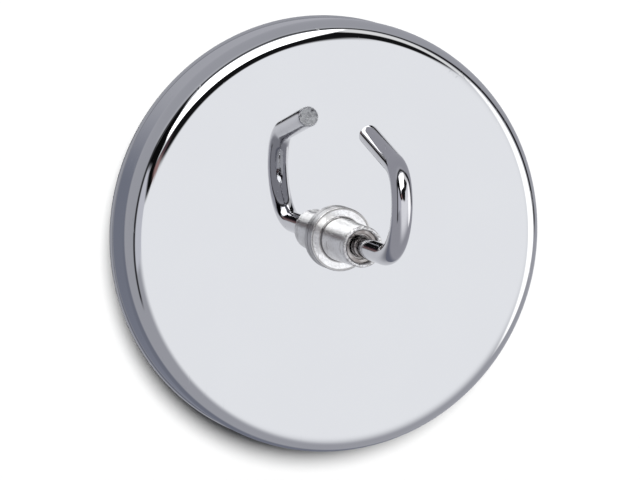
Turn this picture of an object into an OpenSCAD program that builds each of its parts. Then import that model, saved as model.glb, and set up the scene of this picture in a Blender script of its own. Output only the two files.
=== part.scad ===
// Round cup magnet with a swivel hook.
// Origin: centre of the magnetic face, which the magnet rests on. +Z runs up the axis to the hook,
// and the hook's tip leans out to +Y. Millimetres.

/* [Cup] */
// Outside diameter of the cup
cup_d = 67; // [60:0.5:75]
// Height of the cup, from the magnetic face to the flat top
cup_h = 10.3; // [9.5:0.1:13]
// Thickness of the cup's drawn steel
cup_t = 2.2; // [1.8:0.1:2.4]
// Radius of the rounded shoulder between the flat top and the side
shoulder_r = 3.3; // [2.8:0.1:4]

/* [Magnet] */
// Outside diameter of the ring magnet
magnet_d = 59; // [52:0.5:59]
// Hole through the ring magnet
magnet_hole_d = 18; // [16:0.5:24]
// Thickness of the adhesive between magnet and cup
adhesive_t = 0.3; // [0.2:0.05:0.5]
// How far the resin stays back from the magnetic face
resin_recess = 0.3; // [0.1:0.1:0.8]

/* [Bush] */
// Diameter of the bush's flange
flange_d = 9.9; // [9:0.1:12]
// Thickness of the flange
flange_t = 1.6; // [1.2:0.1:2.5]
// Diameter of the boss where it leaves the flange
boss_root_d = 6.65; // [6.6:0.05:7.2]
// Diameter of the boss at its lip
boss_lip_d = 6.35; // [6.3:0.05:7]
// Height of the lip above the cup's flat top
boss_h = 12.2; // [11.8:0.1:14]
// Bore that the hook's collar turns in
bore_d = 5.06; // [5:0.02:5.2]
// Depth of the blind bore below the lip
bore_depth = 8.9; // [8.7:0.1:9.4]
// Diameter of the tail through the cup
tail_d = 4.6; // [4:0.1:5]

/* [Swivel] */
// Diameter of the collar on the hook's inner end
collar_d = 4.92; // [4.88:0.02:4.94]
// Length of the collar
collar_l = 5.2; // [4.5:0.1:5.4]
// Thickness of the retaining washer
washer_t = 0.6; // [0.5:0.1:0.7]
// Radial thickness of the retaining ring's flat wire
ring_w = 0.85; // [0.7:0.05:0.9]
// Height of one turn of the retaining ring
ring_turn_h = 0.3; // [0.25:0.05:0.35]

/* [Hook] */
// Wire diameter
wire_d = 3.2; // [3:0.1:3.3]
// Height above the cup's flat top at which the straight shank ends
shank_top = 22.1; // [20:0.1:26]
// Centreline radius of the wide bend
bend_r = 8.4; // [7:0.1:10]
// Angle that the wide bend turns through
bend_angle = 109; // [100:1:118]
// Centreline radius of the upper bend
tip_bend_r = 4.7; // [4:0.1:6]
// Angle that the upper bend turns through
tip_bend_angle = 56; // [48:1:62]
// Length of the straight tip
tip_l = 12.4; // [10:0.1:13]

/* [Hidden] */
$fn = 96;

eps = 0.01;

// Inside of the cup
cup_r = cup_d / 2;
cavity_r = cup_r - cup_t;
cavity_h = cup_h - cup_t;
cavity_fillet = shoulder_r - cup_t + 0.4;
rim_chamfer = 0.25;
tail_hole_d = tail_d;

// Ring magnet
magnet_h = cavity_h - adhesive_t;
magnet_chamfer = 0.4;

// Bush tail, headed over the backing washer
backing_d = 12;
backing_t = 1.2;
tail_head_d = 7.4;
tail_head_h = 1.5;
tail_dimple_d = 2.4;
tail_dimple_depth = 1.1;
washer_under_z = cavity_h - backing_t;

// Bush above the cup
lip_z = cup_h + boss_h;
bore_floor_z = lip_z - bore_depth;
lip_round = 0.3;
mouth_chamfer = 0.22;
flange_edge = 0.2;
root_fillet = 0.25;

// Retaining stack, from the mouth down
ring_z = lip_z - 0.75 - 2 * ring_turn_h;
ring_groove_d = bore_d + 0.6;
ring_d = ring_groove_d - 0.04;
ring_gap_angle = 26;
ring_gap_width = 0.5;
washer_z = ring_z - washer_t;
washer_d = bore_d - 0.02;
washer_hole_d = wire_d + 0.16;
collar_end_play = 0.3;
collar_z = washer_z - collar_end_play - collar_l;
collar_chamfer = 0.35;
shank_foot = 0.5;

// Hook centreline, in the plane of the Y and Z axes
shank_end_z = cup_h + shank_top;
bend_end = [bend_r * (1 - cos(bend_angle)), shank_end_z + bend_r * sin(bend_angle)];
tip_centre = bend_end + tip_bend_r * [cos(bend_angle), -sin(bend_angle)];
tip_angle = bend_angle + tip_bend_angle;
tip_start = tip_centre + tip_bend_r * [-cos(tip_angle), sin(tip_angle)];
tip_chamfer = 0.15;
thin_wire_d = wire_d - 0.01;
wire_lap = 0.06;

// Outline point on a quarter round: centre, radius, and the angle from +X
function on_round(centre, r, angle) = centre + r * [cos(angle), sin(angle)];

// A ring with square edges, between two diameters and from z up by h
module washer_shape(outer_d, inner_d, z, h) {
    translate([0, 0, z]) difference() {
        cylinder(d = outer_d, h = h);
        translate([0, 0, -1]) cylinder(d = inner_d, h = h + 2);
    }
}

// A disc with both edges bevelled, from z up by h
module bevelled_disc(d, z, h, bevel) {
    translate([0, 0, z]) {
        cylinder(d1 = d - 2 * bevel, d2 = d, h = bevel);
        translate([0, 0, bevel]) cylinder(d = d, h = h - 2 * bevel);
        translate([0, 0, h - bevel]) cylinder(d1 = d, d2 = d - 2 * bevel, h = bevel);
    }
}

// A disc with a quarter-round top edge, from z up by h
module rounded_disc(r, z, h, round_r) {
    translate([0, 0, z]) rotate_extrude() {
        square([r - round_r, h]);
        square([r, h - round_r]);
        translate([r - round_r, h - round_r]) intersection() {
            circle(r = round_r);
            square(round_r);
        }
    }
}

module cup() {
    color("lightsteelblue") difference() {
        intersection() {
            rounded_disc(cup_r, 0, cup_h, shoulder_r);
            cylinder(r1 = cup_r - rim_chamfer, r2 = cup_r - rim_chamfer + cup_h, h = cup_h);
        }
        translate([0, 0, -eps]) rounded_disc(cavity_r, 0, cavity_h + eps, cavity_fillet);
        translate([0, 0, cavity_h - 1]) cylinder(d = tail_hole_d, h = cup_t + 2);
    }
}

module magnet_ring() {
    color("dimgray") difference() {
        bevelled_disc(magnet_d, 0, magnet_h, magnet_chamfer);
        translate([0, 0, -1]) cylinder(d = magnet_hole_d, h = magnet_h + 2);
    }
}

module magnet_adhesive() {
    color("darkseagreen")
        washer_shape(magnet_d - 2 * magnet_chamfer, magnet_hole_d, magnet_h, adhesive_t);
}

// Resin from the magnet's lower bevel up to its top, between the magnet and the cup's wall
module potting_ring() {
    color("darkslategray")
        washer_shape(2 * cavity_r, magnet_d, resin_recess + magnet_chamfer, magnet_h - 2);
}

// Resin round the headed tail, in the magnet's hole
module centre_plug() {
    color("darkslategray") difference() {
        translate([0, 0, resin_recess]) cylinder(d = magnet_hole_d, h = cavity_h - resin_recess);
        translate([0, 0, washer_under_z - eps]) cylinder(d = backing_d, h = cavity_h);
        tail_head();
    }
}

module backing_washer() {
    color("silver") washer_shape(backing_d, tail_d, washer_under_z, backing_t);
}

// The domed head that closes the tail, below the backing washer
module tail_head() {
    translate([0, 0, washer_under_z]) mirror([0, 0, 1])
        rounded_disc(tail_head_d / 2, 0, tail_head_h, tail_head_h * 0.8);
}

module hook_bush() {
    color("gainsboro") difference() {
        union() {
            tail_head();
            translate([0, 0, washer_under_z - 0.5]) cylinder(d = tail_d, h = cup_t + backing_t + 1);
            rounded_disc(flange_d / 2, cup_h, flange_t, flange_edge);
            boss();
        }
        bush_bore();
        translate([0, 0, washer_under_z - tail_head_h - eps])
            cylinder(d1 = tail_dimple_d, d2 = tail_dimple_d * 0.6, h = tail_dimple_depth);
    }
}

// The tapering boss, with a small fillet on the flange and a rounded lip
module boss() {
    root = boss_root_d / 2;
    lip = boss_lip_d / 2;
    top = boss_h - flange_t;
    lip_points = [for (a = [0 : 15 : 90]) on_round([lip - lip_round, top - lip_round], lip_round, a)];
    root_points = [for (a = [270 : -15 : 180])
        on_round([root + root_fillet, root_fillet], root_fillet, a)];
    translate([0, 0, cup_h + flange_t]) rotate_extrude()
        polygon(concat([[0, -0.5], [root + root_fillet, -0.5]], root_points, lip_points, [[0, top]]));
}

// Blind bore with the groove for the retaining ring and a bevelled mouth
module bush_bore() {
    translate([0, 0, bore_floor_z]) cylinder(d = bore_d, h = bore_depth + 1);
    translate([0, 0, ring_z]) cylinder(d = ring_groove_d, h = 2 * ring_turn_h);
    translate([0, 0, lip_z - mouth_chamfer])
        cylinder(d1 = bore_d, d2 = bore_d + 2 * mouth_chamfer + 2 * eps, h = mouth_chamfer + eps);
}

module retaining_washer() {
    color("rosybrown") washer_shape(washer_d, washer_hole_d, washer_z, washer_t);
}

// Two flat turns, each cut at its own end, joined over the rest of the circle
module retaining_ring() {
    color("tan") for (turn = [0, 1]) {
        difference() {
            washer_shape(ring_d, ring_d - 2 * ring_w, ring_z + turn * ring_turn_h, ring_turn_h);
            rotate([0, 0, 150 + turn * ring_gap_angle])
                translate([0, -ring_gap_width / 2, ring_z - 1])
                    cube([ring_d, ring_gap_width, 2 * ring_turn_h + 2]);
        }
    }
}

// An arc of wire in the plane of the Y and Z axes. Angles run from +Y towards +Z, and the arc runs
// on past both of its ends by the lap.
module wire_bend(d, centre, r, from_angle, turn, lap) {
    lap_angle = lap / r * 180 / PI;
    translate([0, centre[0], centre[1]]) rotate([90, 0, 90]) rotate([0, 0, from_angle - lap_angle])
        rotate_extrude(angle = turn + 2 * lap_angle) translate([r, 0]) circle(d = d);
}

// Shank, wide bend, upper bend and tip. Every second stretch is a hair thinner and laps into its
// neighbours, so that each joint is a clean circle.
module hook_wire() {
    shank_z = collar_z - shank_foot;
    color("lightgray") {
        translate([0, 0, shank_z]) cylinder(d = wire_d, h = shank_end_z - shank_z);
        wire_bend(thin_wire_d, [bend_r, shank_end_z], bend_r, 180 - bend_angle, bend_angle, wire_lap);
        wire_bend(wire_d, tip_centre, tip_bend_r, 180 - tip_angle, tip_bend_angle, 0);
        translate([0, tip_start[0], tip_start[1]]) rotate([-tip_angle, 0, 0]) hook_tip();
    }
}

// The straight tip, up from its start, with a small burr-free bevel at the cut end
module hook_tip() {
    translate([0, 0, -wire_lap]) cylinder(d = thin_wire_d, h = tip_l - tip_chamfer + wire_lap);
    translate([0, 0, tip_l - tip_chamfer])
        cylinder(d1 = thin_wire_d, d2 = thin_wire_d - 2 * tip_chamfer, h = tip_chamfer);
}

module shank_collar() {
    color("darkgray") difference() {
        bevelled_disc(collar_d, collar_z, collar_l, collar_chamfer);
        translate([0, 0, collar_z - 1]) cylinder(d = wire_d, h = collar_l + 2);
    }
}

cup();
magnet_ring();
magnet_adhesive();
potting_ring();
centre_plug();
backing_washer();
hook_bush();
retaining_washer();
retaining_ring();
hook_wire();
shank_collar();
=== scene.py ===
"""Looks for the round cup magnet with a swivel hook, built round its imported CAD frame.

Outlines are in millimetres, as (radius, height) pairs or paths, and turn into metres as meshes are made.
"""
import math

import bpy
from mathutils import Matrix, Vector


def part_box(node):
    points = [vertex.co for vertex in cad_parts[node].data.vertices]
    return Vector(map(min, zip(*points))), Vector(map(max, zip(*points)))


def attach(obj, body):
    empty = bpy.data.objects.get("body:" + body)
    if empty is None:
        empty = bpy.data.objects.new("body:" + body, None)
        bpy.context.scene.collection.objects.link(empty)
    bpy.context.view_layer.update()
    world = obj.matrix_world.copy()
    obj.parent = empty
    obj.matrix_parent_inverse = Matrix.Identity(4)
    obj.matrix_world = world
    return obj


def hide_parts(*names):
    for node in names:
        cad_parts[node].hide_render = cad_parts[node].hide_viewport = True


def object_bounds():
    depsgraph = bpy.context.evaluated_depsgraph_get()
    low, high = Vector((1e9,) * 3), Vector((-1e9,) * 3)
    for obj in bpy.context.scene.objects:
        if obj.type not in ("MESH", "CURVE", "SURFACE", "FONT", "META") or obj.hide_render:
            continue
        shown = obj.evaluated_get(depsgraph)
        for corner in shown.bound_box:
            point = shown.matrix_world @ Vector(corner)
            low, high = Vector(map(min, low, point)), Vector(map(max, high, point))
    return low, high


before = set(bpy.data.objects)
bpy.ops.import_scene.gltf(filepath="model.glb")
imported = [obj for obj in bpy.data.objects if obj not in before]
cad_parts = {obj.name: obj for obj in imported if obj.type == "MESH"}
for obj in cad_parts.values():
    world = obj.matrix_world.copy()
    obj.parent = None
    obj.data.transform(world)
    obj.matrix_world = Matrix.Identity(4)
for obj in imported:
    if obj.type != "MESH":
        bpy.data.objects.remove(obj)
cad_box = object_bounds()

MM = 0.001


def node_mm(name):
    """A CAD node's outer radius, its lowest and its highest point, in millimetres."""
    low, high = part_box(name)
    return high.x / MM, low.z / MM, high.z / MM


CUP_R, _, CUP_TOP = node_mm("cup")
MAGNET_R, _, MAGNET_TOP = node_mm("magnet_ring")
PLUG_R, PLUG_LOW, CAVITY_TOP = node_mm("centre_plug")
CAVITY_R, POTTING_LOW, POTTING_TOP = node_mm("potting_ring")
FLANGE_R, TAIL_LOW, LIP = node_mm("hook_bush")
RING_R, RING_LOW, RING_TOP = node_mm("retaining_ring")
WASHER_R, WASHER_LOW, WASHER_TOP = node_mm("retaining_washer")
WIRE_R, SHANK_LOW, _ = node_mm("hook_wire")
BACKING_R, BACKING_LOW, _ = node_mm("backing_washer")

SHOULDER_R = 3.3
FLANGE_TOP = CUP_TOP + 1.6
BOSS_ROOT_R = 3.32
BOSS_LIP_R = 3.17
BORE_R = 2.53
BORE_FLOOR = LIP - 8.9
TAIL_R = 2.3
TAIL_HEAD_R = 3.7
TAIL_HEAD = 1.5
RING_WIDTH = 0.85
WASHER_HOLE_R = WIRE_R + 0.08

SHANK_TOP = CUP_TOP + 22.1
BEND_R = 8.4
BEND_ANGLE = 109
TIP_BEND_R = 4.7
TIP_BEND_ANGLE = 56
TIP_LENGTH = 12.4
# Places before the tip's end, and how much smaller the wire's radius is there
TIP_ROUNDING = ((0.16, 0.0), (0.12, 0.005), (0.06, 0.02), (0.02, 0.06), (0.0, 0.13))

# Faces that meet at more than this many degrees keep a sharp edge
SHARP_ANGLE = 32.0


# ---------------------------------------------------------------- outlines and meshes

def arc(centre, radius, start, end, step=3.0):
    """Points on an arc, with angles in degrees from the first axis towards the second, both ends kept."""
    count = max(2, round(abs(end - start) / step))
    angles = [math.radians(start + (end - start) * i / count) for i in range(count + 1)]
    return [(centre[0] + radius * math.cos(a), centre[1] + radius * math.sin(a)) for a in angles]


def new_piece(name, verts, faces, uvs):
    """A smooth-shaded mesh object. verts are in millimetres, and uvs has one pair for each face corner."""
    mesh = bpy.data.meshes.new(name)
    mesh.from_pydata([Vector(v) * MM for v in verts], [], faces)
    layer = mesh.uv_layers.new(name="surface")
    corners = [uv for face in uvs for uv in face]
    layer.data.foreach_set("uv", [x for uv in corners for x in uv])
    mesh.shade_smooth()
    mesh.set_sharp_from_angle(angle=math.radians(SHARP_ANGLE))
    mesh.validate()
    piece = bpy.data.objects.new(name, mesh)
    bpy.context.scene.collection.objects.link(piece)
    return piece


def lathe(name, outline, closed=True, turns=192, shape=None):
    """Revolves an outline of (radius, height) points round the Z axis. Points on the axis become one vertex.

    shape(radius, angle, height) may move a point, and UVs run round the axis and along the outline.
    """
    lengths = [0.0]
    loop = outline + [outline[0]] if closed else outline
    for a, b in zip(loop, loop[1:]):
        lengths.append(lengths[-1] + math.dist(a, b))
    verts, rings = [], []
    for radius, height in outline:
        if radius < 1e-6:
            rings.append([len(verts)] * turns)
            verts.append((0.0, 0.0, height))
            continue
        rings.append(list(range(len(verts), len(verts) + turns)))
        for k in range(turns):
            angle = 2 * math.pi * k / turns
            r, z = shape(radius, angle, height) if shape else (radius, height)
            verts.append((r * math.cos(angle), r * math.sin(angle), z))
    if closed:
        rings.append(rings[0])
    faces, uvs = [], []
    for j in range(len(rings) - 1):
        for k in range(turns):
            following = (k + 1) % turns
            corners = [(rings[j][k], k, j), (rings[j][following], k + 1, j),
                       (rings[j + 1][following], k + 1, j + 1), (rings[j + 1][k], k, j + 1)]
            kept = [c for i, c in enumerate(corners) if c[0] != corners[i - 1][0]]
            if len(kept) < 3:
                continue
            faces.append([c[0] for c in kept])
            uvs.append([(c[1] / turns, lengths[c[2]] * MM) for c in kept])
    return new_piece(name, verts, faces, uvs)


def sweep(name, path, sides, section):
    """Sweeps a closed section along a path of (point, tangent, across) frames, and closes both ends.

    section(i, k) gives the offsets along across and along the binormal at path point i and corner k.
    """
    verts, lengths = [], [0.0]
    for i, (point, tangent, across) in enumerate(path):
        if i:
            lengths.append(lengths[-1] + (point - path[i - 1][0]).length)
        binormal = tangent.cross(across)
        for k in range(sides):
            a, b = section(i, k)
            verts.append(point + across * a + binormal * b)
    faces, uvs = [], []
    for i in range(len(path) - 1):
        for k in range(sides):
            corners = ((k, i), (k + 1, i), (k + 1, i + 1), (k, i + 1))
            faces.append([j * sides + around % sides for around, j in corners])
            uvs.append([(around / sides, lengths[j] * MM) for around, j in corners])
    for end, order in ((0, -1), (len(path) - 1, 1)):
        ring = [end * sides + k for k in range(sides)][::order]
        faces.append(ring)
        uvs.append([(0.0, lengths[end] * MM)] * sides)
    return new_piece(name, verts, faces, uvs)


# ---------------------------------------------------------------- shader graphs

# Outputs of the texture coordinate node, and of the geometry node
GENERATED, UV, OBJECT = 0, 2, 3
BACKFACING = 6


class Graph:
    """Short calls for adding and joining nodes in one node tree."""

    def __init__(self, tree):
        self.tree = tree

    def add(self, kind, inputs=None, output=0, **settings):
        """Adds a node, sets its settings, feeds its inputs with sockets or values, and returns an output."""
        node = self.tree.nodes.new("ShaderNode" + kind)
        for key, value in settings.items():
            setattr(node, key, value)
        for key, value in (inputs or {}).items():
            self.feed(node.inputs[key], value)
        return node.outputs[output]

    def feed(self, socket, value):
        if isinstance(value, bpy.types.NodeSocket):
            self.tree.links.new(value, socket)
        else:
            socket.default_value = value

    def math(self, operation, *values):
        return self.add("Math", dict(enumerate(values)), operation=operation)

    def times(self, first, second):
        return self.math("MULTIPLY", first, second)

    def gap(self, value, place):
        """How far a value is from a place, on either side."""
        return self.math("ABSOLUTE", self.math("SUBTRACT", value, place))

    def ramp(self, value, low, high, start=0.0, end=1.0):
        """A smooth step from start to end as the value goes from low to high."""
        inputs = {"Value": value, "From Min": low, "From Max": high, "To Min": start, "To Max": end}
        return self.add("MapRange", inputs, interpolation_type="SMOOTHSTEP")

    def mix(self, factor, first, second):
        return self.add("Mix", {0: factor, 6: first, 7: second}, output=2, data_type="RGBA")

    def noise(self, vector, scale, detail=3.0, roughness=0.5):
        inputs = {"Vector": vector, "Scale": scale, "Detail": detail, "Roughness": roughness}
        return self.add("TexNoise", inputs)

    def stretch(self, vector, x, y, z):
        return self.add("VectorMath", {0: vector, 1: (x, y, z)}, operation="MULTIPLY")

    def from_axis(self, coords):
        """Distance from the Z axis."""
        flat = self.stretch(coords, 1.0, 1.0, 0.0)
        return self.add("VectorMath", {0: flat}, output=1, operation="LENGTH")

    def towards(self, direction, way):
        """Cosine of the angle between a direction and a fixed way."""
        return self.add("VectorMath", {0: direction, 1: way}, output=1, operation="DOT_PRODUCT")

    def bump(self, height, depth, normal=None):
        """Relief of a depth in millimetres."""
        inputs = {"Height": height, "Distance": depth * MM, "Strength": 1.0}
        if normal:
            inputs["Normal"] = normal
        return self.add("Bump", inputs)


def rgb(red, green, blue):
    """A linear colour, opaque."""
    return (red, green, blue, 1.0)


def grey(level, tint=(1.0, 1.0, 1.0)):
    """A linear colour for a display level from 0 to 255."""
    linear = ((level / 255 + 0.055) / 1.055) ** 2.4
    return rgb(*(linear * t for t in tint))


def new_material(name, **constants):
    """A material whose principled shader has these constant inputs, with its graph and shader."""
    material = bpy.data.materials.new(name)
    material.use_nodes = True
    tree = material.node_tree
    shader = tree.nodes["Principled BSDF"]
    for key, value in constants.items():
        shader.inputs[key.replace("_", " ")].default_value = value
    return material, Graph(tree), shader


def dress(graph, shader, colour, roughness, normal=None):
    """Feeds a shader its colour, roughness and normal."""
    graph.feed(shader.inputs["Base Color"], colour)
    graph.feed(shader.inputs["Roughness"], roughness)
    if normal:
        graph.feed(shader.inputs["Normal"], normal)


# Texture scales below are in repeats per metre, and bump depths in millimetres

def scratches(graph, coords, scale, width, amount):
    """1 on a few long thin lines, 0 elsewhere: zero crossings of a stretched noise, thinned by another."""
    wander = graph.noise(coords, scale * 0.35, 2.0)
    lines = graph.noise(graph.stretch(coords, scale, scale * 0.12, scale), 1.0, 1.0)
    thin = graph.ramp(graph.gap(lines, 0.5), 0.0, width, 1.0, 0.0)
    return graph.times(thin, graph.ramp(wander, 1.0 - amount, 1.05 - amount))


def specks(graph, coords, scale, size, share):
    """1 on small round specks that a share of the cells have."""
    cells = graph.tree.nodes.new("ShaderNodeTexVoronoi")
    graph.feed(cells.inputs["Vector"], coords)
    cells.inputs["Scale"].default_value = scale
    dot = graph.ramp(cells.outputs["Distance"], size * 0.5, size, 1.0, 0.0)
    chosen = graph.add("SeparateColor", {0: cells.outputs["Color"]})
    return graph.times(dot, graph.math("LESS_THAN", chosen, share))


def cup_chrome():
    """Mirror plating: near-flawless, with faint ripple, a few specks, and hairlines near the edge."""
    material, graph, shader = new_material("cup_chrome", Metallic=1.0)
    coords = graph.add("TexCoord", output=OBJECT)
    smear = graph.noise(coords, 90.0, 3.0)
    handled = graph.ramp(graph.from_axis(coords), (CUP_R - 6) * MM, (CUP_R - 3) * MM)
    lines = graph.times(scratches(graph, coords, 420.0, 0.004, 0.47), handled)
    dots = specks(graph, coords, 300.0, 0.04, 0.07)
    marks = graph.math("MAXIMUM", lines, dots)
    clean = graph.mix(smear, rgb(0.645, 0.65, 0.66), rgb(0.66, 0.667, 0.675))
    colour = graph.mix(graph.times(dots, 0.45), clean, rgb(0.22, 0.2, 0.19))
    gloss = graph.ramp(smear, 0.3, 0.75, 0.012, 0.035)
    roughness = graph.math("ADD", gloss, graph.times(marks, 0.12))
    rippled = graph.bump(graph.noise(coords, 240.0, 1.0), 0.0012)
    dress(graph, shader, colour, roughness, graph.bump(marks, -0.004, rippled))
    return material


def wire_chrome():
    """Plating over drawn wire: faint lines along the wire, slightly uneven gloss, and small tool marks."""
    material, graph, shader = new_material("wire_chrome", Metallic=1.0)
    coords = graph.add("TexCoord", output=OBJECT)
    along = graph.add("TexCoord", output=UV)
    drawn = graph.noise(graph.stretch(along, 46.0, 60.0, 1.0), 1.0, 3.0)
    smear = graph.noise(coords, 420.0, 3.0)
    tool = scratches(graph, coords, 700.0, 0.006, 0.4)
    colour = graph.mix(smear, rgb(0.525, 0.52, 0.545), rgb(0.575, 0.575, 0.59))
    gloss = graph.ramp(smear, 0.3, 0.75, 0.03, 0.09)
    roughness = graph.math("ADD", gloss, graph.times(tool, 0.15))
    lined = graph.bump(drawn, 0.006)
    dress(graph, shader, colour, roughness, graph.bump(tool, -0.006, lined))
    return material


def cut_steel():
    """The wire's sheared end: mottled, half torn and half smooth."""
    material, graph, shader = new_material("cut_steel", Metallic=1.0)
    torn = graph.noise(graph.add("TexCoord", output=OBJECT), 1400.0, 6.0, 0.65)
    colour = graph.mix(graph.ramp(torn, 0.36, 0.46), rgb(0.22, 0.22, 0.23), rgb(0.99, 0.99, 0.99))
    roughness = graph.ramp(torn, 0.3, 0.7, 0.42, 0.28)
    dress(graph, shader, colour, roughness, graph.bump(torn, 0.1))
    return material


def turned_steel():
    """Bright turned steel: tool lines round the axis, knocks, pits, painted shade in corners, bore and
    flange side, a mottled lip.
    """
    material, graph, shader = new_material("turned_steel", Metallic=1.0, Anisotropic=0.95,
                                           Anisotropic_Rotation=0.25)
    graph.feed(shader.inputs["Tangent"], graph.add("Tangent", direction_type="RADIAL", axis="Z"))
    coords = graph.add("TexCoord", output=OBJECT)
    along = graph.add("TexCoord", output=UV)
    outward = graph.from_axis(coords)
    height = graph.add("SeparateXYZ", {0: coords}, output=2)

    def step(value, low, high, start=0.0, end=1.0):
        """A ramp between two places in millimetres."""
        return graph.ramp(value, low * MM, high * MM, start, end)

    # Regions: the boss, the flange's side, everything near the flange's face, the lip, and the bore
    boss = step(height, FLANGE_TOP + 0.15, FLANGE_TOP + 0.5)
    side = step(outward, FLANGE_R - 0.15, FLANGE_R - 0.05)
    low = step(height, FLANGE_TOP + 0.3, FLANGE_TOP + 0.8, 1.0, 0.0)
    lip = step(height, LIP - 0.7, LIP - 0.2, 0.25, 1.0)
    bore = step(outward, BORE_R + 0.03, BORE_R + 0.14, 0.8, 0.0)

    # Painted shade in the corner at the boss's root, and a little less along the flange's edge
    corner = graph.gap(outward, (BOSS_ROOT_R + 0.1) * MM)
    edge = graph.math("ADD", graph.gap(outward, (FLANGE_R - 0.25) * MM), 0.05 * MM)
    corner_shade = graph.times(step(graph.math("MINIMUM", corner, edge), 0.08, 0.28, 0.7, 0.0), low)

    dull = graph.noise(coords, 520.0, 4.0)
    spots = graph.times(graph.ramp(graph.noise(coords, 2400.0, 4.0, 0.65), 0.46, 0.58), lip)
    knocks = scratches(graph, coords, 620.0, 0.014, 0.5)
    marks = graph.math("MAXIMUM", knocks, specks(graph, coords, 1150.0, 0.14, 0.22))

    colour = graph.mix(graph.ramp(dull, 0.35, 0.7), rgb(0.90, 0.90, 0.90), rgb(0.80, 0.795, 0.79))
    # Painted shade: the flange's side is darker than its face
    colour = graph.mix(graph.times(side, 0.7), colour, rgb(0.42, 0.42, 0.43))
    colour = graph.mix(graph.times(spots, 0.75), colour, rgb(0.40, 0.39, 0.38))
    # Painted shade: dark in the corner, along the flange's edge and in the bore
    colour = graph.mix(graph.math("MAXIMUM", corner_shade, bore), colour, rgb(0.16, 0.15, 0.145))
    colour = graph.mix(graph.times(marks, 0.6), colour, rgb(0.35, 0.33, 0.32))

    gloss = graph.ramp(dull, 0.3, 0.75, 0.05, 0.09)
    turned = graph.times(graph.math("MAXIMUM", boss, side), 0.24)
    lines = graph.noise(graph.stretch(along, 0.6, 9000.0, 1.0), 1.0, 2.0)
    relief = graph.bump(graph.math("ADD", marks, spots), -0.02, graph.bump(lines, 0.004))
    dress(graph, shader, colour, graph.math("ADD", gloss, turned), relief)
    return material


def spring_steel():
    """Dull brownish spring steel with a little oil."""
    material, graph, shader = new_material("spring_steel", Metallic=1.0)
    film = graph.noise(graph.add("TexCoord", output=OBJECT), 900.0, 4.0)
    colour = graph.mix(graph.ramp(film, 0.3, 0.7), rgb(0.24, 0.215, 0.205), rgb(0.50, 0.48, 0.465))
    roughness = graph.ramp(film, 0.3, 0.7, 0.14, 0.28)
    dress(graph, shader, colour, roughness, graph.bump(film, 0.01))
    return material


def plain_steel():
    """Unplated steel inside the cup, lightly mottled."""
    material, graph, shader = new_material("plain_steel", Metallic=1.0)
    mottle = graph.noise(graph.add("TexCoord", output=OBJECT), 700.0, 4.0)
    colour = graph.mix(mottle, rgb(0.50, 0.50, 0.51), rgb(0.66, 0.66, 0.67))
    roughness = graph.ramp(mottle, 0.3, 0.7, 0.25, 0.4)
    dress(graph, shader, colour, roughness, graph.bump(mottle, 0.02))
    return material


def ferrite():
    """Ground ferrite: charcoal, with straight grinding lines, fine grain and small chips."""
    material, graph, shader = new_material("ferrite", Metallic=0.0)
    coords = graph.add("TexCoord", output=OBJECT)
    ground = graph.noise(graph.stretch(coords, 3200.0, 60.0, 200.0), 1.0, 3.0)
    grain = graph.noise(coords, 2600.0, 5.0, 0.6)
    chips = specks(graph, coords, 700.0, 0.13, 0.06)
    tone = graph.math("ADD", graph.times(ground, 0.5), graph.times(grain, 0.5))
    colour = graph.mix(graph.ramp(tone, 0.3, 0.7), rgb(0.085, 0.085, 0.09), rgb(0.20, 0.20, 0.205))
    roughness = graph.ramp(tone, 0.3, 0.7, 0.45, 0.65)
    relief = graph.math("SUBTRACT", tone, graph.times(chips, 2.0))
    dress(graph, shader, colour, roughness, graph.bump(relief, 0.02))
    return material


def resin():
    """Dark potting resin: glossy, with faint flow and a few pinholes."""
    material, graph, shader = new_material("potting_resin", Metallic=0.0)
    coords = graph.add("TexCoord", output=OBJECT)
    flow = graph.noise(coords, 160.0, 3.0)
    holes = specks(graph, coords, 420.0, 0.09, 0.10)
    colour = graph.mix(flow, rgb(0.03, 0.03, 0.034), rgb(0.075, 0.075, 0.08))
    roughness = graph.ramp(flow, 0.3, 0.7, 0.16, 0.34)
    relief = graph.math("SUBTRACT", graph.times(flow, 0.6), holes)
    dress(graph, shader, colour, roughness, graph.bump(relief, 0.06))
    return material


def adhesive():
    """Cured adhesive, greenish grey and matt."""
    material, graph, shader = new_material("adhesive", Metallic=0.0)
    cloud = graph.noise(graph.add("TexCoord", output=OBJECT), 300.0, 4.0)
    colour = graph.mix(cloud, rgb(0.40, 0.42, 0.36), rgb(0.60, 0.61, 0.54))
    dress(graph, shader, colour, graph.ramp(cloud, 0.3, 0.7, 0.5, 0.7))
    return material


MATERIALS = {
    "cup_chrome": cup_chrome(),
    "wire_chrome": wire_chrome(),
    "cut_steel": cut_steel(),
    "turned_steel": turned_steel(),
    "spring_steel": spring_steel(),
    "plain_steel": plain_steel(),
    "ferrite": ferrite(),
    "potting_resin": resin(),
    "adhesive": adhesive(),
}


def finish_piece(piece, body, node, slot):
    """Gives a new piece its material and body, and hides the CAD node that it stands in for."""
    piece.data.materials.append(MATERIALS[slot])
    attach(piece, body)
    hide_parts(node)
    return piece


# ---------------------------------------------------------------- pieces on the base

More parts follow.
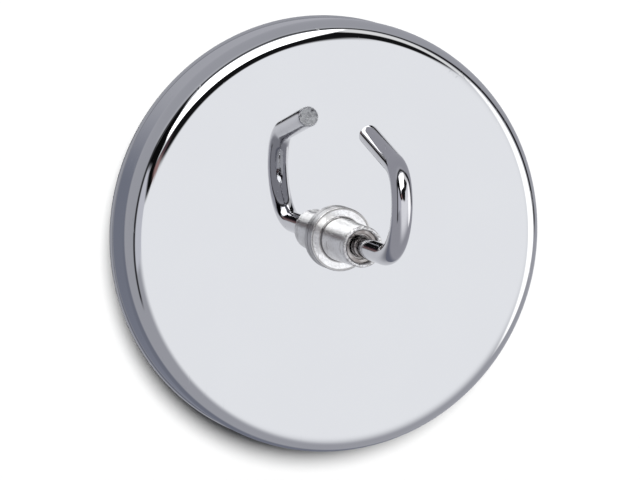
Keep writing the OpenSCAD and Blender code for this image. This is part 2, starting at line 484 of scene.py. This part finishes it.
def make_cup():
    """Drawn cup: trimmed rim with a small lip, wall, rounded shoulder, flat top with a hole, and cavity."""
    edge, fillet = 0.12, 1.5
    lip_r, lip_turn = 0.7, 52
    waist = CUP_R - lip_r * (1 - math.cos(math.radians(lip_turn)))
    waist_z = edge + lip_r * math.sin(math.radians(lip_turn))
    shoulder = (CUP_R - SHOULDER_R, CUP_TOP - SHOULDER_R)
    outline = arc((CUP_R - edge, edge), edge, -90, 0, 15)
    outline += arc((waist + lip_r, waist_z), lip_r, 180 + lip_turn, 180, 9)[1:]
    outline += [(waist, waist_z + 0.2), (CUP_R, shoulder[1] - 0.3)]
    outline += arc(shoulder, SHOULDER_R, 0, 90, 2)
    outline += [(shoulder[0] - 0.05, CUP_TOP), (FLANGE_R * 1.4, CUP_TOP), (FLANGE_R, CUP_TOP)]
    outline += [(TAIL_R, CUP_TOP), (TAIL_R, CAVITY_TOP), (BACKING_R, CAVITY_TOP)]
    outline += [(CAVITY_R - fillet - 0.1, CAVITY_TOP)]
    outline += arc((CAVITY_R - fillet, CAVITY_TOP - fillet), fillet, 90, 0, 15)
    outline += [(CAVITY_R, 0.4)]
    outline += arc((CAVITY_R + edge, edge), edge, 180, 270, 15)
    return finish_piece(lathe("cup_shell", outline, turns=256), "base", "cup", "cup_chrome")


def make_magnet():
    """Ring magnet with bevelled, slightly chipped edges."""
    bevel, chip, hole = 0.4, 0.12, PLUG_R
    waves = ((17, 0.0), (41, 1.3), (73, 0.4))
    outline = [(hole, MAGNET_TOP), (hole, bevel * 0.5), (hole + bevel * 0.5, 0.0), (MAGNET_R - bevel, 0.0),
               (MAGNET_R, bevel), (MAGNET_R, MAGNET_TOP - bevel), (MAGNET_R - bevel, MAGNET_TOP)]

    def chipped(radius, angle, height):
        """Takes chips out of the outer edge of the magnetic face, where three waves round it add up."""
        if height < bevel and radius > MAGNET_R - 2 * bevel:
            total = sum(math.sin(count * angle + phase) for count, phase in waves)
            return radius - chip * max(0.0, total - 1.6), height
        return radius, height

    return finish_piece(lathe("magnet", outline, turns=256, shape=chipped), "base", "magnet_ring", "ferrite")


def meniscus(inner, outer, low, sag, count=12):
    """Points from the inner to the outer radius on a surface that climbs both walls."""
    shares = [i / count for i in range(count + 1)]
    return [(inner + (outer - inner) * s, low + sag * (1 - (2 * s - 1) ** 4)) for s in shares]


def make_potting():
    """Resin between the magnet and the wall: its face sags between them."""
    climb, sag = 0.25, 0.35
    outline = meniscus(MAGNET_R, CAVITY_R, POTTING_LOW - climb, sag)
    outline += [(CAVITY_R, POTTING_TOP), (MAGNET_R, POTTING_TOP)]
    return finish_piece(lathe("potting", outline), "base", "potting_ring", "potting_resin")


def make_plug():
    """Resin over the headed tail: a shallow dish that climbs the magnet's hole."""
    steps, sag = 14, 0.25
    head_low = BACKING_LOW - TAIL_HEAD
    outline = [(PLUG_R * i / steps, PLUG_LOW + sag * (1 - (i / steps) ** 6)) for i in range(steps + 1)]
    outline += [(PLUG_R, CAVITY_TOP), (BACKING_R, CAVITY_TOP), (BACKING_R, BACKING_LOW)]
    outline += [(TAIL_HEAD_R, BACKING_LOW), (TAIL_HEAD_R, BACKING_LOW - TAIL_HEAD * 0.2)]
    outline += [(TAIL_HEAD_R * 0.68, head_low), (0.0, head_low)]
    return finish_piece(lathe("plug", outline, closed=False), "base", "centre_plug", "potting_resin")


def make_bush():
    """Turned bush: headed tail, flange, tapering boss with a thin lip, and the bore with its groove."""
    dome, dimple = TAIL_HEAD * 0.8, 1.1
    burr, edge, root, lip, chamfer = 0.12, 0.2, 0.25, 0.3, 0.22
    flat, run_out, taper = 0.45, 0.7, 0.01
    groove_r = RING_R + 0.02
    outline = [(0.0, TAIL_LOW + dimple), (0.7, TAIL_LOW + dimple), (1.2, TAIL_LOW)]
    outline += arc((TAIL_HEAD_R - dome, TAIL_LOW + dome), dome, -90, 0, 15)
    outline += [(TAIL_HEAD_R, BACKING_LOW), (TAIL_R, BACKING_LOW), (TAIL_R, CUP_TOP)]
    outline += [(FLANGE_R - burr, CUP_TOP), (FLANGE_R, CUP_TOP + burr)]
    outline += arc((FLANGE_R - edge, FLANGE_TOP - edge), edge, 0, 90, 10)
    outline += [(FLANGE_R - flat, FLANGE_TOP), (BOSS_ROOT_R + flat, FLANGE_TOP)]
    outline += arc((BOSS_ROOT_R + root, FLANGE_TOP + root), root, 270, 180, 10)
    outline += [(BOSS_ROOT_R - taper, FLANGE_TOP + run_out), (BOSS_LIP_R + taper, LIP - run_out)]
    outline += arc((BOSS_LIP_R - lip, LIP - lip), lip, 0, 90, 8)
    outline += [(BORE_R + chamfer, LIP), (BORE_R, LIP - chamfer), (BORE_R, RING_TOP)]
    outline += [(groove_r, RING_TOP), (groove_r, RING_LOW), (BORE_R, RING_LOW)]
    outline += [(BORE_R, BORE_FLOOR), (0.0, BORE_FLOOR)]
    return finish_piece(lathe("bush", outline, closed=False, turns=160), "base", "hook_bush", "turned_steel")


def make_washer():
    """Plain washer in the bore, with softened upper edges."""
    soft = 0.08
    outline = [(WASHER_HOLE_R, WASHER_LOW), (WASHER_R, WASHER_LOW)]
    outline += [(WASHER_R, WASHER_TOP - soft), (WASHER_R - soft, WASHER_TOP)]
    outline += [(WASHER_HOLE_R + soft, WASHER_TOP), (WASHER_HOLE_R, WASHER_TOP - soft)]
    piece = lathe("swivel_washer", outline, turns=96)
    return finish_piece(piece, "base", "retaining_washer", "spring_steel")


def make_ring():
    """Spiral retaining ring: a flat wire wound nearly two turns, with a short jog between them."""
    thick = (RING_TOP - RING_LOW) * 0.46
    middle = RING_R - RING_WIDTH / 2
    rise = RING_TOP - RING_LOW - thick
    start, wound, steps = 150, 690, 150
    jog_start, jog = 0.42, 0.16
    path = []
    for i in range(steps + 1):
        s = i / steps
        angle = math.radians(start + wound * s)
        lift = rise * min(1.0, max(0.0, (s - jog_start) / jog))
        point = Vector((middle * math.cos(angle), middle * math.sin(angle), RING_LOW + thick / 2 + lift))
        tangent = Vector((-math.sin(angle), math.cos(angle), 0.0))
        path.append((point, tangent, Vector((math.cos(angle), math.sin(angle), 0.0))))
    w, t, soft = RING_WIDTH / 2, thick / 2, 0.05
    corners = [(w - soft, -t), (w, soft - t), (w, t - soft), (w - soft, t),
               (soft - w, t), (-w, t - soft), (-w, soft - t), (soft - w, -t)]
    piece = sweep("spiral_ring", path, len(corners), lambda i, k: corners[k])
    return finish_piece(piece, "base", "retaining_ring", "spring_steel")


# ---------------------------------------------------------------- pieces on the hook

def hook_path():
    """Frames along the hook's centreline in the Y-Z plane, from the shank's foot to the tip's end."""
    points = []

    def run(y, z, heading, length, count):
        """Adds points along a straight run, without its end, which it returns."""
        dy, dz = math.sin(heading) * length, math.cos(heading) * length
        for i in range(count):
            points.append((y + dy * i / count, z + dz * i / count, heading))
        return y + dy, z + dz

    def bend(y, z, heading, radius, turn):
        """Adds points along a bend of some degrees, without its end, and returns the end and heading."""
        centre = (y + radius * math.cos(heading), z - radius * math.sin(heading))

        def place(h):
            return centre[0] - radius * math.cos(h), centre[1] + radius * math.sin(h), h

        count = round(turn / 2)
        points.extend(place(heading + math.radians(turn) * i / count) for i in range(count))
        return place(heading + math.radians(turn))

    rounded = TIP_ROUNDING[0][0]
    y, z = run(0.0, SHANK_LOW, 0.0, SHANK_TOP - SHANK_LOW, 14)
    y, z, heading = bend(y, z, 0.0, BEND_R, BEND_ANGLE)
    y, z, heading = bend(y, z, heading, TIP_BEND_R, TIP_BEND_ANGLE)
    y, z = run(y, z, heading, TIP_LENGTH - rounded, 10)
    for before_end, _ in TIP_ROUNDING:
        length = rounded - before_end
        points.append((y + math.sin(heading) * length, z + math.cos(heading) * length, heading))
    across = Vector((1.0, 0.0, 0.0))
    return [(Vector((0.0, y, z)), Vector((0.0, math.sin(h), math.cos(h))), across) for y, z, h in points]


def make_hook():
    """Bent wire with a sheared tip whose edge is slightly rounded over."""
    path = hook_path()
    sides = 64
    radii = [WIRE_R] * (len(path) - len(TIP_ROUNDING)) + [WIRE_R - less for _, less in TIP_ROUNDING]

    def section(i, k):
        angle = 2 * math.pi * k / sides
        return radii[i] * math.cos(angle), radii[i] * math.sin(angle)

    piece = sweep("hook", path, sides, section)
    finish_piece(piece, "hook", "hook_wire", "wire_chrome")
    piece.data.materials.append(MATERIALS["cut_steel"])
    for face in piece.data.polygons:
        if len(face.vertices) == sides:
            face.material_index = 1
            face.use_smooth = False
    return piece


def finish_cad_nodes():
    """Better materials for the CAD nodes that stay: the sealed-in layers and the collar in the bore."""
    slots = {
        "magnet_adhesive": "adhesive",
        "backing_washer": "plain_steel",
        "shank_collar": "plain_steel",
    }
    for node, slot in slots.items():
        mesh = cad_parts[node].data
        mesh.materials.clear()
        mesh.materials.append(MATERIALS[slot])


# ---------------------------------------------------------------- studio

def look(bearing, elevation):
    """Unit direction for a bearing, from +Y towards -X, and an elevation, both in degrees."""
    b, e = math.radians(bearing), math.radians(elevation)
    return Vector((-math.sin(b) * math.cos(e), math.cos(b) * math.cos(e), math.sin(e)))


# Everything the plating can see, from first painted to last: display level, edge softness in degrees,
# and the corners of a flat card, which is convex, as bearings and elevations
CARDS = [
    # A lighter panel on the wall, and the wall's dark foot in three lengths
    (184, 4, [(69, 24), (71, 58), (90, 62), (108, 62), (108, 24)]),
    (40, 6, [(-30, 14), (-30, 22), (2, 23), (2, 15)]),
    (45, 6, [(-2, 15), (-2, 23), (60, 25), (60, 17)]),
    (45, 6, [(58, 16), (58, 26), (119, 27), (119, 17)]),
    # Black flags: at the top, in the middle, and two at the left
    (18, 6, [(-84, 75), (-50, 61), (-20, 61), (20, 61), (66, 60), (66, 80), (-20, 88)]),
    (18, 5, [(-60, 33), (-59, 52), (-48, 64), (-20, 66), (-18, 32)]),
    (10, 4, [(36, 24), (57, 58), (69, 57), (68, 24)]),
    (10, 4, [(60, 44), (69, 72), (79, 72), (84, 61), (71, 42)]),
    # A small card, the main softbox, and the right softbox
    (215, 5, [(-64, 19), (-60, 30), (-24, 40), (-20, 22)]),
    (380, 3, [(-22, 24), (-22, 61), (0, 66), (30, 65), (54, 58), (52, 49), (30, 30)]),
    (270, 8, [(-120, 8), (-98, 0), (-60, 20), (-62, 28), (-88, 42), (-100, 41), (-118, 22)]),
    # The dark edge under the right softbox
    (22, 6, [(-96, -16), (-96, -2), (-74, 4), (-72, -8)]),
    (24, 6, [(-80, -11), (-80, 2), (-48, 20), (-44, 9)]),
    (40, 6, [(-50, 9), (-50, 19), (-28, 21), (-28, 13)]),
]
# Two reddish cards, painted after those: display level, tint, and corners
WARM_CARDS = [
    (60, (1.4, 0.8, 1.0), [(48, 66), (50, 76), (61, 76), (61, 63)]),
    (118, (1.35, 0.82, 0.8), [(60, 63), (60, 76), (72, 80), (73, 68), (67, 60)]),
]
WARM_SOFT = 4
WHITE = (1.0, 1.0, 1.0)
COOL = (0.97, 0.98, 1.08)
TABLE_TONE, TENT_TONE, NEAR_TONE = 150, 226, 106
# The share of light that the plating gives back
CHROME = 0.66


def card_mask(graph, direction, corners, soft):
    """1 inside a flat card seen from the object, falling to 0 across its soft edge."""
    rays = [look(*corner) for corner in corners]
    middle = sum(rays, Vector())
    half = math.sin(math.radians(soft)) / 2
    mask = None
    for a, b in zip(rays, rays[1:] + rays[:1]):
        inward = a.cross(b).normalized()
        inward *= math.copysign(1.0, inward.dot(middle))
        edge = graph.ramp(graph.towards(direction, inward), -half, half)
        mask = graph.times(mask, edge) if mask else edge
    return mask


def tone(level, tint=WHITE):
    """The colour to show so that the plating, which takes some of it, has a display level."""
    return rgb(*(c / CHROME for c in grey(level, tint)[:3]))


def studio_colour(graph):
    """A tent of light grey above, a grey table level below, a wall to the left, and cards and flags."""
    direction = graph.add("TexCoord", output=GENERATED)
    up = graph.towards(direction, (0.0, 0.0, 1.0))
    tent = tone(TENT_TONE, (0.985, 0.995, 1.03))
    colour = graph.mix(graph.ramp(up, 0.02, 0.90), tone(TABLE_TONE, COOL), tent)
    leaning = graph.ramp(graph.towards(direction, look(115, -30)), -0.17, 0.30)
    beyond = graph.ramp(graph.towards(direction, look(150, 0)), -0.05, 0.05)
    colour = graph.mix(graph.times(leaning, beyond), colour, tone(TABLE_TONE, COOL))
    for level, soft, corners in CARDS:
        tint = COOL if level < 200 else WHITE
        colour = graph.mix(card_mask(graph, direction, corners, soft), colour, tone(level, tint))
    for level, tint, corners in WARM_CARDS:
        colour = graph.mix(card_mask(graph, direction, corners, WARM_SOFT), colour, tone(level, tint))
    near = graph.ramp(graph.towards(direction, look(158, -60)), 0.72, 0.87)
    return graph.mix(near, colour, tone(NEAR_TONE, (0.93, 0.99, 1.24)))


def build_world():
    """Shows the studio to reflections, a white backdrop to the camera, and a dim studio to the floor."""
    world = bpy.data.worlds.new("studio")
    bpy.context.scene.world = world
    world.use_nodes = True
    graph = Graph(world.node_tree)
    colour = studio_colour(graph)
    shown = graph.add("Background", {"Color": colour})
    backdrop = graph.add("Background", {"Color": rgb(*WHITE)})
    dim = graph.add("Background", {"Color": colour, "Strength": 0.09})
    path = graph.tree.nodes.new("ShaderNodeLightPath").outputs
    mixed = graph.add("MixShader", {0: path["Is Diffuse Ray"], 1: shown, 2: dim})
    mixed = graph.add("MixShader", {0: path["Is Camera Ray"], 1: mixed, 2: backdrop})
    graph.feed(world.node_tree.nodes["World Output"].inputs["Surface"], mixed)


def build_floor():
    """A plain pale floor that catches the shadow. Only the camera sees it, and only from above."""
    size, gap = 3.0, 0.02 * MM
    mesh = bpy.data.meshes.new("floor")
    corners = [(-size, -size, 0), (size, -size, 0), (size, size, 0), (-size, size, 0)]
    mesh.from_pydata(corners, [], [(0, 1, 2, 3)])
    floor = bpy.data.objects.new("floor", mesh)
    floor.location.z = cad_box[0].z - gap
    bpy.context.scene.collection.objects.link(floor)
    material, graph, shader = new_material("floor_paper", Roughness=0.9)
    grain = graph.noise(graph.add("TexCoord", output=OBJECT), 60.0)
    paper = graph.mix(grain, rgb(0.295, 0.295, 0.295), rgb(0.305, 0.305, 0.305))
    graph.feed(shader.inputs["Base Color"], paper)
    clear = graph.add("BsdfTransparent")
    below = graph.add("NewGeometry", output=BACKFACING)
    both = graph.add("MixShader", {0: below, 1: shader.outputs[0], 2: clear})
    graph.feed(material.node_tree.nodes["Material Output"].inputs["Surface"], both)
    mesh.materials.append(material)
    for ray in ("glossy", "diffuse", "transmission", "shadow"):
        setattr(floor, "visible_" + ray, False)


def build_key():
    """A steep soft sun from beyond the object, which gives the short shadow on the near side."""
    light = bpy.data.lights.new("key", "SUN")
    light.energy = 10.7
    light.angle = math.radians(27)
    key = bpy.data.objects.new("key", light)
    toward = Vector((0.0, 0.30, 1.0))
    key.rotation_mode = "QUATERNION"
    key.rotation_quaternion = toward.to_track_quat("Z", "Y")
    key.visible_glossy = False
    bpy.context.scene.collection.objects.link(key)


VIEW_TILT = 19.2
VIEW_AZIMUTH = 159.2
VIEW_ROLL = 2.03
VIEW_DISTANCE = 1.005
LENS = 368.5
FACE_RIGHT, FACE_UP = 0.00276, 0.00028


def build_camera():
    """A long lens, looking nearly straight down at the cup's flat top."""
    tilt, azimuth, roll = (math.radians(a) for a in (VIEW_TILT, VIEW_AZIMUTH, VIEW_ROLL))
    back = Vector((math.sin(tilt) * math.cos(azimuth), math.sin(tilt) * math.sin(azimuth), math.cos(tilt)))
    upright = Vector((0.0, back.z, -back.y)).normalized()
    up = upright * math.cos(roll) + upright.cross(back) * math.sin(roll)
    right = up.cross(back)
    face = Vector((0.0, 0.0, CUP_TOP * MM))
    place = face + back * VIEW_DISTANCE - right * FACE_RIGHT - up * FACE_UP
    data = bpy.data.cameras.new("camera")
    data.lens = LENS
    camera = bpy.data.objects.new("camera", data)
    bpy.context.scene.collection.objects.link(camera)
    camera.matrix_world = Matrix.Translation(place) @ Matrix((right, up, back)).transposed().to_4x4()
    bpy.context.scene.camera = camera


build_camera()
build_world()
build_floor()
build_key()
bpy.context.scene.view_settings.view_transform = "Standard"

make_cup()
make_magnet()
make_potting()
make_plug()
make_bush()
make_washer()
make_ring()
make_hook()
finish_cad_nodes()
